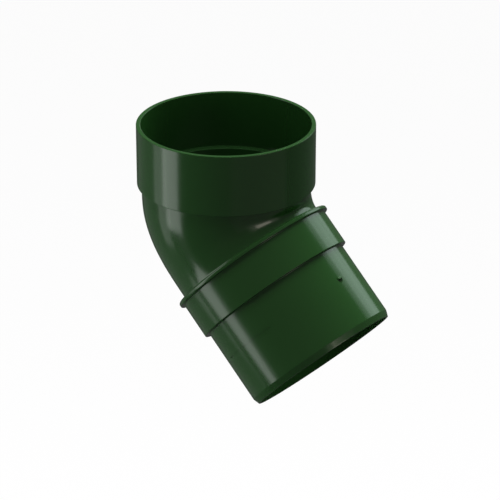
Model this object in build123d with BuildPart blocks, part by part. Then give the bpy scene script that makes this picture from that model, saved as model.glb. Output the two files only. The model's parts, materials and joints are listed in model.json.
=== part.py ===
from build123d import *

import os
from math import cos, radians, sin

# Downpipe elbow for a round plastic downpipe, moulded in one piece.
# The socket opens upwards and takes the end of the upper pipe, which stands on the seat inside it. Under the
# socket a bend turns the flow into the leg, whose spigot goes into the pipe below, up to the step at the collar.
# The origin is the centre of the seat. +Z runs up the socket's axis, and the leg leans towards +X.
# All sizes are in millimetres and degrees.

# The pipe that the elbow joins
pipe_d = 80.0
pipe_wall = 1.8

# Socket
socket_clearance = 0.4  # around the pipe, on the radius
socket_wall = 2.1
socket_depth = 27.95  # from the seat to the rim
seat_width = 3.2
floor_thickness = 1.8  # of the ring that carries the seat
rim_round = 0.3
seat_round = 0.35
foot_round = 0.3  # outer edge under the socket

# Bend
bend_angle = 45.0
bend_start = 5.5  # below the seat, where the tube starts to turn
bend_top_wall = 3.1  # under the seat, before the outside narrows
throat_radius = 3.5  # of the outside, where the bend is tightest
narrowing_start = 5.5  # turned this far, the outside starts to narrow to the leg's size
bend_sections = 15

# Leg
spigot_clearance = 0.15  # inside the pipe, on the radius
leg_wall = 2.0
neck_length = 1.6  # from the bend to the bead
neck_fillet = 0.8
bead_width = 2.1
bead_height = 1.8  # above the collar
bead_top_round = 0.9
bead_foot_round = 0.4
collar_proud = 0.3  # of the pipe whose end meets the step, on the radius
collar_length = 18.1
step_round = 0.3
foot_fillet = 0.4  # in the corners under the bead and under the step
spigot_length = 40.6
lead_in_length = 3.0
tip_wall = 0.95  # left at the end by the lead-in
tip_round = 0.15

# Marks cut into the spigot at the depth to which it goes in
line_distance = 15.85  # from the step
line_width = 0.5
line_depth = 0.3
line_span = 52.0  # around the leg, centred on the -Y side
notch_distance = 14.8  # from the step
notch_length = 3.0  # around the leg, on the side inside the bend
notch_width = 1.2
notch_depth = 1.0

# Radii that follow from these
socket_bore_r = pipe_d / 2 + socket_clearance
socket_r = socket_bore_r + socket_wall
seat_opening_r = socket_bore_r - seat_width
bend_top_r = seat_opening_r + bend_top_wall
spigot_r = pipe_d / 2 - pipe_wall - spigot_clearance
collar_r = pipe_d / 2 + collar_proud
bead_r = collar_r + bead_height
leg_bore_r = spigot_r - leg_wall
tip_r = leg_bore_r + tip_wall

# Runs along the leg, counted from the end of the bend
bead_start = neck_length
collar_start = bead_start + bead_width
step = collar_start + collar_length
leg_end = step + spigot_length


def bend_outer_r(turn):
    """The bend's outside radius after a turn, which falls smoothly to the spigot's."""
    share = max(turn - narrowing_start, 0) / (bend_angle - narrowing_start)
    return bend_top_r + (spigot_r - bend_top_r) * share * share * (3 - 2 * share)


def bend_plane(turn):
    """The bend's section plane after a turn in degrees, facing along the flow, its origin on the tube's centreline.

    The planes fan out from one line, and the tube stays the throat's radius away from it on its inside.
    """
    angle = radians(turn)
    fan_x = bend_top_r + throat_radius
    reach = throat_radius + bend_outer_r(turn)
    centre = (fan_x - reach * cos(angle), 0, -bend_start - reach * sin(angle))
    return Plane(origin=centre, x_dir=(0, 1, 0), z_dir=(sin(angle), 0, -cos(angle)))


def bend_bore_r(turn):
    """The passage's radius after a turn, from the seat's opening to the leg's bore."""
    return seat_opening_r + (leg_bore_r - seat_opening_r) * turn / bend_angle


outlet = bend_plane(bend_angle)
leg_axis = Axis(outlet.origin, outlet.z_dir)
turns = [bend_angle * i / bend_sections for i in range(bend_sections + 1)]


def leg_plane(around):
    """A plane through the leg's axis: x away from it, y along the flow. 0 is the outside of the bend, 90 is +Y."""
    away = outlet.x_dir.cross(outlet.z_dir).rotate(Axis((0, 0, 0), outlet.z_dir), around)
    return Plane(origin=outlet.origin, x_dir=away, z_dir=away.cross(outlet.z_dir))


# The space inside
with BuildPart() as passage:
    # Socket's bore, seat and the opening through its floor, down to where the bend starts
    with BuildSketch(Plane.XZ):
        with BuildLine():
            FilletPolyline(
                (0, -bend_start),
                (seat_opening_r, -bend_start),
                (seat_opening_r, 0),
                (socket_bore_r, 0),
                (socket_bore_r, socket_depth),
                (0, socket_depth),
                radius=[0, 0, seat_round, 0, 0, 0],
                close=True,
            )
        make_face()
    revolve(axis=Axis.Z)

    # Bend's bore
    for turn in turns:
        with BuildSketch(bend_plane(turn)):
            Circle(bend_bore_r(turn))
    loft()

    # Leg's bore
    with BuildSketch(outlet):
        Circle(leg_bore_r)
    extrude(amount=leg_end)

# The moulding
with BuildPart() as elbow:
    # Socket, and the straight top of the bend under it
    with BuildSketch(Plane.XZ):
        with BuildLine():
            FilletPolyline(
                (0, -bend_start),
                (bend_top_r, -bend_start),
                (bend_top_r, -floor_thickness),
                (socket_r, -floor_thickness),
                (socket_r, socket_depth),
                (0, socket_depth),
                radius=[0, 0, 0, foot_round, 0, 0],
                close=True,
            )
        make_face()
    revolve(axis=Axis.Z)

    # Bend
    for turn in turns:
        with BuildSketch(bend_plane(turn)):
            Circle(bend_outer_r(turn))
    loft()

    # Leg: neck, bead, collar, spigot and lead-in
    with BuildSketch(leg_plane(0)):
        with BuildLine():
            FilletPolyline(
                (0, 0),
                (spigot_r, 0),
                (spigot_r, bead_start),
                (bead_r, bead_start),
                (bead_r, collar_start),
                (collar_r, collar_start),
                (collar_r, step),
                (spigot_r, step),
                (spigot_r, leg_end - lead_in_length),
                (tip_r, leg_end),
                (0, leg_end),
                radius=[
                    0, 0, neck_fillet, bead_top_round, bead_foot_round, foot_fillet,
                    step_round, foot_fillet, 0, 0, 0,
                ],
                close=True,
            )
        make_face()
    revolve(axis=leg_axis)

    add(passage.part, mode=Mode.SUBTRACT)

    # Edges of the rim and of the spigot's tip
    fillet(elbow.edges().group_by(Axis.Z)[-1], rim_round)
    fillet(elbow.edges().group_by(leg_axis)[-1], tip_round)

    # Line that shows how far the spigot goes in
    with BuildSketch(leg_plane(-90 - line_span / 2)):
        with Locations((spigot_r, step + line_distance)):
            Rectangle(2 * line_depth, line_width)
    revolve(axis=leg_axis, revolution_arc=line_span, mode=Mode.SUBTRACT)

    # Notch at nearly the same depth, on the side inside the bend
    inside = leg_plane(180)
    notch_centre = inside.from_local_coords((spigot_r, step + notch_distance, 0))
    with BuildSketch(Plane(origin=notch_centre, x_dir=inside.z_dir, z_dir=inside.x_dir)):
        with BuildLine():
            Polyline(
                (-notch_length / 2, 0),
                (0, -notch_width / 2),
                (notch_length / 2, 0),
                (0, notch_width / 2),
                close=True,
            )
        make_face()
    extrude(amount=notch_depth, both=True, mode=Mode.SUBTRACT)

elbow.part.label = "elbow"

os.makedirs("parts", exist_ok=True)
export_step(elbow.part, "parts/elbow.step")
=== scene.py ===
import json
import math

import bpy
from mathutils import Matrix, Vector


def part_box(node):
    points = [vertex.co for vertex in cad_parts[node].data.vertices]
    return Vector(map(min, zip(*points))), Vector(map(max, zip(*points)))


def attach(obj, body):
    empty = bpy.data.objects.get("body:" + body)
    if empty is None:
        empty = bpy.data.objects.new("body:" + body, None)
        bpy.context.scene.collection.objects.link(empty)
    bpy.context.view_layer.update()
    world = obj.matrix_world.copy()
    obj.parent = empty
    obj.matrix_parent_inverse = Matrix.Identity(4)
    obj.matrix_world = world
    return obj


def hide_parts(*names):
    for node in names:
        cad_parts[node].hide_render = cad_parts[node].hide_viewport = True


# Downpipe elbow, a glossy green moulding, on a white ground in soft studio light.
# The frame's origin is the centre of the seat, +Z runs up the socket's axis and the leg leans towards +X.
# Lengths are in metres and angles in degrees, unless a comment says otherwise.

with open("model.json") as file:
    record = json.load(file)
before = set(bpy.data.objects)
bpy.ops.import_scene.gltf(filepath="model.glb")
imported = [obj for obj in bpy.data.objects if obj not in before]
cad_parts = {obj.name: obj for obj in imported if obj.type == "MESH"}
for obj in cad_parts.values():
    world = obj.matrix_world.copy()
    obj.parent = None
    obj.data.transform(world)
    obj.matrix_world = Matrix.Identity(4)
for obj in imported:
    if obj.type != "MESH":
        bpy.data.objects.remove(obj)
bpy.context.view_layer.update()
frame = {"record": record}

mounts = {mount["name"]: mount for mount in frame["record"]["mounts"]}
low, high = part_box("elbow")

# Socket
socket_r = -low.x
socket_bore_r = mounts["socket"]["dims"]["r_mm"] / 1000
rim_height = high.z
seat_width = 0.0032
floor_thickness = 0.0018  # of the ring that carries the seat
rim_round = 0.0003
seat_round = 0.00035
foot_round = 0.0003  # outer edge under the socket

# Bend
bend_start = 0.0055  # below the seat, where the tube starts to turn
bend_top_wall = 0.0031  # under the seat, before the outside narrows
throat_radius = 0.0035  # of the outside, where the bend is tightest
narrowing_start = 5.5  # turned this far, the outside starts to narrow to the leg's size

# Leg
flow_down_leg = Vector(mounts["spigot"]["axis"])
spigot_r = mounts["spigot"]["dims"]["r_mm"] / 1000
leg_wall = 0.002
neck_length = 0.0016  # from the bend to the bead
neck_fillet = 0.0008
bead_width = 0.0021
bead_height = 0.0018  # above the collar
bead_top_round = 0.0009
bead_foot_round = 0.0004
collar_height = 0.00225  # above the spigot
collar_length = 0.0181
step_round = 0.0003
foot_fillet = 0.0004  # in the corners under the bead and under the step
lead_in_length = 0.003
lead_in_round = 0.0003  # where it begins
tip_wall = 0.00095  # left at the end by the lead-in
tip_round = 0.00015
inner_corner_round = 0.00012  # in the socket and under its floor

# Marks cut into the spigot at the depth to which it goes in
line_distance = 0.01585  # from the step
line_width = 0.0005
line_depth = 0.0003
line_span = 52  # around the leg
line_middle = 270  # on the -Y side
notch_distance = 0.0148  # from the step
notch_length = 0.003  # around the leg
notch_width = 0.0012
notch_depth = 0.001
notch_place = 180  # on the side inside the bend

# Mesh
segments = 240  # around the moulding
outside_rings = 46  # along the bend
passage_rings = 23
arc_steps = 6  # in a rounding of 90 degrees
least_arc_steps = 2
support = 0.0002  # from a rounding to the ring that keeps it tight
mark_margin = 0.001  # from the middle of a mark to the ring beside it
sharp_edge = 30  # an edge that turns more than this is shaded sharp

# Radii that follow
seat_opening_r = socket_bore_r - seat_width
collar_r = spigot_r + collar_height
bend_top_r = seat_opening_r + bend_top_wall
pivot_x = bend_top_r + throat_radius  # of the line from which the bend's sections fan out
bead_r = collar_r + bead_height
leg_bore_r = spigot_r - leg_wall
tip_r = leg_bore_r + tip_wall

# Runs along the centreline, counted from the seat, down the bend and the leg
bend_angle = math.acos(-flow_down_leg.z)  # in radians
bend_end = bend_start + pivot_x * bend_angle
bead_start = bend_end + neck_length
collar_start = bead_start + bead_width
step = collar_start + collar_length
line_run = step + line_distance
notch_run = step + notch_distance
leg_end = step + mounts["spigot"]["dims"]["length_mm"] / 1000 + lead_in_length


def turn_at(run):
    """How far the section at a run has turned, in radians."""
    return min(max((run - bend_start) / (bend_end - bend_start), 0), 1) * bend_angle


def bend_outer_r(run):
    """The outside radius from under the socket to the neck, which falls to the spigot's in the bend."""
    start = math.radians(narrowing_start)
    share = max(turn_at(run) - start, 0) / (bend_angle - start)
    return bend_top_r + (spigot_r - bend_top_r) * share * share * (3 - 2 * share)


def bend_bore_r(run):
    """The passage's radius in the bend, from the seat's opening to the leg's bore."""
    return seat_opening_r + (leg_bore_r - seat_opening_r) * turn_at(run) / bend_angle


def section_at(run):
    """Centre of the section at a run, the direction to the outside of the bend, and the flow."""
    turn = turn_at(run)
    flow = Vector((math.sin(turn), 0, -math.cos(turn)))
    outside = Vector((-math.cos(turn), 0, -math.sin(turn)))
    pivot = Vector((pivot_x, 0, -min(run, bend_start)))
    centre = pivot + (throat_radius + bend_outer_r(run)) * outside
    return centre + max(run - bend_end, 0) * flow, outside, flow


def point_at(run, radius, around):
    """A point by its run, its radius and its angle around: 0 is the outside of the bend, 90 is +Y."""
    centre, outside, flow = section_at(run)
    angle = math.radians(around)
    return centre + radius * (math.cos(angle) * outside + math.sin(angle) * Vector((0, 1, 0)))


def bend_runs(count):
    """Runs spread evenly along the bend."""
    return [bend_start + (bend_end - bend_start) * i / (count - 1) for i in range(count)]


def rounded(corners):
    """Points along open corners (run, radius, rounding), with a support point on each side of a rounding."""
    points = []
    for before, here, after in zip([None] + corners, corners, corners[1:] + [None]):
        corner = Vector(here[:2])
        rounding = here[2]
        if rounding == 0:
            points.append(corner)
            continue
        arrive = (corner - Vector(before[:2])).normalized()
        leave = (Vector(after[:2]) - corner).normalized()
        turn = arrive.angle(leave)
        cut_back = rounding * math.tan(turn / 2)
        centre = corner + (leave - arrive).normalized() * rounding / math.cos(turn / 2)
        start = corner - arrive * cut_back
        points.append(start - arrive * support)
        side = (start - centre).normalized()
        steps = max(least_arc_steps, round(arc_steps * turn / math.radians(90)))
        for i in range(steps + 1):
            angle = turn * i / steps
            points.append(centre + rounding * (side * math.cos(angle) + arrive * math.sin(angle)))
        points.append(corner + leave * (cut_back + support))
    return [(point.x, point.y) for point in points]


def elbow_profile():
    """The moulding's closed profile: down the outside, around the tip, and up the inside to the rim."""
    rim_middle = (socket_r + socket_bore_r) / 2
    bend_foot = floor_thickness + support
    socket_outside = [
        (-rim_height, rim_middle, 0),
        (-rim_height, socket_r, rim_round),
        (floor_thickness, socket_r, foot_round),
        (floor_thickness, bend_top_r, inner_corner_round),
        (bend_foot + inner_corner_round, bend_top_r, 0),
    ]
    leg = [
        (bend_end + support, spigot_r, 0),
        (bead_start, spigot_r, neck_fillet),
        (bead_start, bead_r, bead_top_round),
        (collar_start, bead_r, bead_foot_round),
        (collar_start, collar_r, foot_fillet),
        (step, collar_r, step_round),
        (step, spigot_r, foot_fillet),
        (notch_run - mark_margin, spigot_r, 0),
        (line_run + mark_margin, spigot_r, 0),
        (leg_end - lead_in_length, spigot_r, lead_in_round),
        (leg_end, tip_r, tip_round),
        (leg_end, leg_bore_r, tip_round),
        (bend_end + support, leg_bore_r, 0),
    ]
    socket_inside = [
        (floor_thickness - support, seat_opening_r, 0),
        (0, seat_opening_r, seat_round),
        (0, socket_bore_r, inner_corner_round),
        (-rim_height, socket_bore_r, rim_round),
        (-rim_height, rim_middle, 0),
    ]
    down = [(run, bend_outer_r(run)) for run in bend_runs(outside_rings)]
    up = [(run, bend_bore_r(run)) for run in reversed(bend_runs(passage_rings))]
    return rounded(socket_outside) + down + rounded(leg) + up + rounded(socket_inside)[:-1]


def mesh_object(name, verts, faces):
    """A mesh object in the scene, with its place in its mesh."""
    mesh = bpy.data.meshes.new(name)
    mesh.from_pydata(verts, [], faces)
    obj = bpy.data.objects.new(name, mesh)
    bpy.context.scene.collection.objects.link(obj)
    return obj


def swept(name, profile, start=0, span=360, steps=segments):
    """A mesh object: a closed profile of (run, radius) points, carried around the centreline."""
    whole = span == 360
    count = steps if whole else steps + 1
    angles = [start + span * i / steps for i in range(count)]
    verts = [point_at(run, radius, around) for run, radius in profile for around in angles]
    faces = []
    for i in range(len(profile)):
        ring = i * count
        following = (i + 1) % len(profile) * count
        for k in range(steps):
            beside = (k + 1) % count
            faces.append((ring + k, ring + beside, following + beside, following + k))
    if not whole:
        faces.append([i * count for i in range(len(profile))])
        faces.append([i * count + steps for i in reversed(range(len(profile)))])
    return mesh_object(name, verts, faces)


def line_cutter():
    """A short stretch of ring that cuts the depth line into the spigot."""
    first = line_run - line_width / 2
    last = first + line_width
    inner = spigot_r - line_depth
    outer = spigot_r + line_depth
    profile = [(first, inner), (first, outer), (last, outer), (last, inner)]
    return swept("line_cutter", profile, start=line_middle - line_span / 2, span=line_span, steps=line_span)


def notch_cutter():
    """A prism whose lozenge section cuts the notch into the spigot's outside."""
    half_angle = math.degrees(notch_length / 2 / spigot_r)
    lozenge = [
        (notch_run, notch_place - half_angle),
        (notch_run - notch_width / 2, notch_place),
        (notch_run, notch_place + half_angle),
        (notch_run + notch_width / 2, notch_place),
    ]
    inner = [point_at(run, spigot_r - notch_depth, around) for run, around in lozenge]
    outer = [point_at(run, spigot_r + notch_depth, around) for run, around in lozenge]
    faces = [(0, 1, 2, 3), (7, 6, 5, 4)]
    faces += [(i, i + 4, (i + 1) % 4 + 4, (i + 1) % 4) for i in range(4)]
    return mesh_object("notch_cutter", inner + outer, faces)


def cut(piece, cutter):
    """Takes the cutter's space out of the piece, and removes the cutter."""
    modifier = piece.modifiers.new("cut", "BOOLEAN")
    modifier.operation = "DIFFERENCE"
    modifier.solver = "EXACT"
    modifier.object = cutter
    shaped = piece.evaluated_get(bpy.context.evaluated_depsgraph_get())
    mesh = bpy.data.meshes.new_from_object(shaped)
    piece.modifiers.clear()
    piece.data = mesh
    bpy.data.objects.remove(cutter)


# Plastic: colours in linear light, and noises in cells to a metre
plastic_ior = 1.5
darker_green = (0.0086, 0.0390, 0.0074, 1)
lighter_green = (0.0094, 0.0420, 0.0081, 1)
cloud_scale = 30
cloud_detail = 3
least_roughness = 0.14
most_roughness = 0.17
roughness_scale = 120
roughness_detail = 4
skin_scale = 700
skin_detail = 2
skin_strength = 0.08
skin_depth = 0.00002


def noise(tree, place, scale, detail):
    """The output of a noise laid through the piece, from 0 to 1."""
    texture = tree.nodes.new("ShaderNodeTexNoise")
    texture.inputs["Scale"].default_value = scale
    texture.inputs["Detail"].default_value = detail
    tree.links.new(place.outputs["Object"], texture.inputs["Vector"])
    return texture.outputs["Fac"]


def green_plastic():
    """Moulded plastic, green all through and glossy, with the faint unevenness of a moulded skin."""
    material = bpy.data.materials.new("green_plastic")
    material.use_nodes = True
    tree = material.node_tree
    shader = tree.nodes["Principled BSDF"]
    shader.inputs["IOR"].default_value = plastic_ior
    place = tree.nodes.new("ShaderNodeTexCoord")

    colour = tree.nodes.new("ShaderNodeMix")
    colour.data_type = "RGBA"
    colour.inputs["A"].default_value = darker_green
    colour.inputs["B"].default_value = lighter_green
    tree.links.new(noise(tree, place, cloud_scale, cloud_detail), colour.inputs["Factor"])
    tree.links.new(colour.outputs["Result"], shader.inputs["Base Color"])

    roughness = tree.nodes.new("ShaderNodeMapRange")
    roughness.inputs["To Min"].default_value = least_roughness
    roughness.inputs["To Max"].default_value = most_roughness
    tree.links.new(noise(tree, place, roughness_scale, roughness_detail), roughness.inputs["Value"])
    tree.links.new(roughness.outputs["Result"], shader.inputs["Roughness"])

    bump = tree.nodes.new("ShaderNodeBump")
    bump.inputs["Strength"].default_value = skin_strength
    bump.inputs["Distance"].default_value = skin_depth
    tree.links.new(noise(tree, place, skin_scale, skin_detail), bump.inputs["Height"])
    tree.links.new(bump.outputs["Normal"], shader.inputs["Normal"])
    return material


# The moulding
elbow = swept("elbow_moulding", elbow_profile())
cut(elbow, line_cutter())
cut(elbow, notch_cutter())
elbow.data.shade_smooth()
elbow.data.set_sharp_from_angle(angle=math.radians(sharp_edge))
elbow.data.materials.append(green_plastic())
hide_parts("elbow")
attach(elbow, "root")


# Ground: the floor lies far below the elbow, which is held by its socket
floor_drop = 3.0
floor_side = 30
floor_glow = 0.96  # of white, as the camera sees it
floor_grey = 0.05  # on which the elbow's shadow falls
mirrored_grey = 0.08  # of the floor, as the plastic mirrors it
room_colour = (0.112, 0.11, 0.105, 1)


def grey(value):
    """A grey from 0, black, to 1, white."""
    return value, value, value, 1


def part_by_camera(tree, to_camera, to_elbow, output):
    """Shows one shader to the camera and another to the rays that leave the elbow."""
    path = tree.nodes.new("ShaderNodeLightPath")
    choice = tree.nodes.new("ShaderNodeMixShader")
    tree.links.new(path.outputs["Is Camera Ray"], choice.inputs["Fac"])
    tree.links.new(to_elbow, choice.inputs[1])
    tree.links.new(to_camera, choice.inputs[2])
    tree.links.new(choice.outputs["Shader"], output.inputs["Surface"])


def floor_material():
    """Pale to the camera, with the elbow's shadow, and a dim grey in what the plastic mirrors."""
    material = bpy.data.materials.new("floor")
    material.use_nodes = True
    tree = material.node_tree
    tree.nodes.remove(tree.nodes["Principled BSDF"])

    glow = tree.nodes.new("ShaderNodeEmission")
    glow.inputs["Color"].default_value = grey(1)
    glow.inputs["Strength"].default_value = floor_glow
    shadowed = tree.nodes.new("ShaderNodeBsdfDiffuse")
    shadowed.inputs["Color"].default_value = grey(floor_grey)
    pale = tree.nodes.new("ShaderNodeAddShader")
    tree.links.new(glow.outputs["Emission"], pale.inputs[0])
    tree.links.new(shadowed.outputs["BSDF"], pale.inputs[1])

    dim = tree.nodes.new("ShaderNodeEmission")
    dim.inputs["Color"].default_value = grey(mirrored_grey)
    dim.inputs["Strength"].default_value = 1
    part_by_camera(tree, pale.outputs["Shader"], dim.outputs["Emission"], tree.nodes["Material Output"])
    return material


def studio_world():
    """White to the camera, and a dim room around the elbow."""
    world = bpy.data.worlds.new("studio")
    world.use_nodes = True
    tree = world.node_tree
    room = tree.nodes["Background"]
    room.inputs["Color"].default_value = room_colour
    room.inputs["Strength"].default_value = 1
    white = tree.nodes.new("ShaderNodeBackground")
    white.inputs["Color"].default_value = grey(1)
    white.inputs["Strength"].default_value = 1
    part_by_camera(tree, white.outputs["Background"], room.outputs["Background"], tree.nodes["World Output"])
    return world


half = floor_side / 2
floor_height = low.z - floor_drop
floor_corners = [(-half, -half), (half, -half), (half, half), (-half, half)]
floor = mesh_object("floor", [(x, y, floor_height) for x, y in floor_corners], [(0, 1, 2, 3)])
floor.data.materials.append(floor_material())

bpy.context.scene.world = studio_world()


# Light
middle = (low + high) / 2
lamp_distance = 4
near_distance = 2
untinted = (1, 1, 1)
faint_green = (0.93, 1.0, 0.94)
cool_green = (0.82, 1.0, 0.94)
faint_warm = (1.0, 0.95, 0.9)
cream = (1.0, 0.95, 0.85)
amber = (1.0, 0.92, 0.78)
faint_magenta = (1.0, 0.85, 1.0)


def direction(azimuth, elevation):
    """Unit vector towards a place: azimuth 0 is -Y, 90 is +X."""
    around = math.radians(azimuth)
    up = math.radians(elevation)
    return Vector((math.sin(around) * math.cos(up), -math.cos(around) * math.cos(up), math.sin(up)))


def softbox(name, place, size, brightness, tint=untinted, distance=lamp_distance, mirrored=True):
    """A lamp that faces the elbow, and is mirrored in it or only lights it.

    Its place is (azimuth, elevation), and its size is (across, tall) in degrees, as seen from the elbow.
    Brightness 1 would look white in a mirror.
    """
    data = bpy.data.lights.new(name, "AREA")
    data.shape = "RECTANGLE"
    data.size = 2 * distance * math.tan(math.radians(size[0] / 2))
    data.size_y = 2 * distance * math.tan(math.radians(size[1] / 2))
    data.energy = math.pi * data.size * data.size_y * brightness
    data.color = tint
    lamp = bpy.data.objects.new(name, data)
    towards = direction(*place)
    lamp.location = middle + distance * towards
    lamp.rotation_euler = towards.to_track_quat("Z", "Y").to_euler()
    lamp.visible_camera = False
    lamp.visible_glossy = mirrored
    bpy.context.scene.collection.objects.link(lamp)


# Tall window on the left, with a brighter core and soft edges
softbox("left", (-38.75, 2), (24.5, 60), brightness=2.4, tint=faint_green)
softbox("left_core", (-47.5, 2), (7, 60), brightness=0.35, tint=faint_green)
softbox("left_edge", (-59, -1), (16, 68), brightness=0.8, tint=faint_green)
softbox("left_fade", (-24.5, 4), (4, 56), brightness=0.4, tint=faint_green)

# Dim panels below the elbow
softbox("low_left", (-90, -26), (44, 36), brightness=0.07)
softbox("low_front", (5, -26), (70, 40), brightness=0.02)
softbox("low_right", (82, -26), (70, 40), brightness=0.075, tint=faint_warm)

# Window behind the elbow, which shows along its right side, with a soft edge
softbox("right", (172.5, 21), (25, 31), brightness=1.35, tint=cool_green)
softbox("right_core", (165, 21.5), (14, 30), brightness=0.5, tint=cool_green)
softbox("right_fade", (155, 21.5), (10, 30), brightness=0.85, tint=cool_green)

# Light from behind and above
softbox("back", (-165, 40), (44, 44), brightness=12, mirrored=False)
softbox("above", (0, 90), (50, 50), brightness=6, tint=faint_magenta, mirrored=False)

# Warm lamp on the +X side, which shows in the throat of the bend, in a dim panel
softbox("warm", (84, 2), (22, 13), brightness=2.5, tint=amber)
softbox("warm_panel", (86, 2), (44, 24), brightness=0.3, tint=cream)

# Fill from below, from behind and from the side
softbox("low_fill", (-55, -38), (40, 40), brightness=6, distance=near_distance, mirrored=False)
softbox("back_low", (-156, 10), (16, 24), brightness=0.75)
softbox("side_fill", (110, 25), (40, 40), brightness=0.8, distance=near_distance, mirrored=False)


# Camera, at the photograph's place and angle
camera_place = Vector((0.70299, -0.89071, 0.47626))
camera_aim = Vector((0.03437, -0.02598, -0.01891))
lens_mm = 186.23
sensor_mm = 36
view_reach = 50

camera_data = bpy.data.cameras.new("camera")
camera_data.lens = lens_mm
camera_data.sensor_width = sensor_mm
camera_data.clip_end = view_reach
camera = bpy.data.objects.new("camera", camera_data)
camera.location = camera_place
camera.rotation_euler = (camera_place - camera_aim).to_track_quat("Z", "Y").to_euler()
bpy.context.scene.collection.objects.link(camera)
bpy.context.scene.camera = camera

bpy.context.scene.view_settings.view_transform = "Standard"
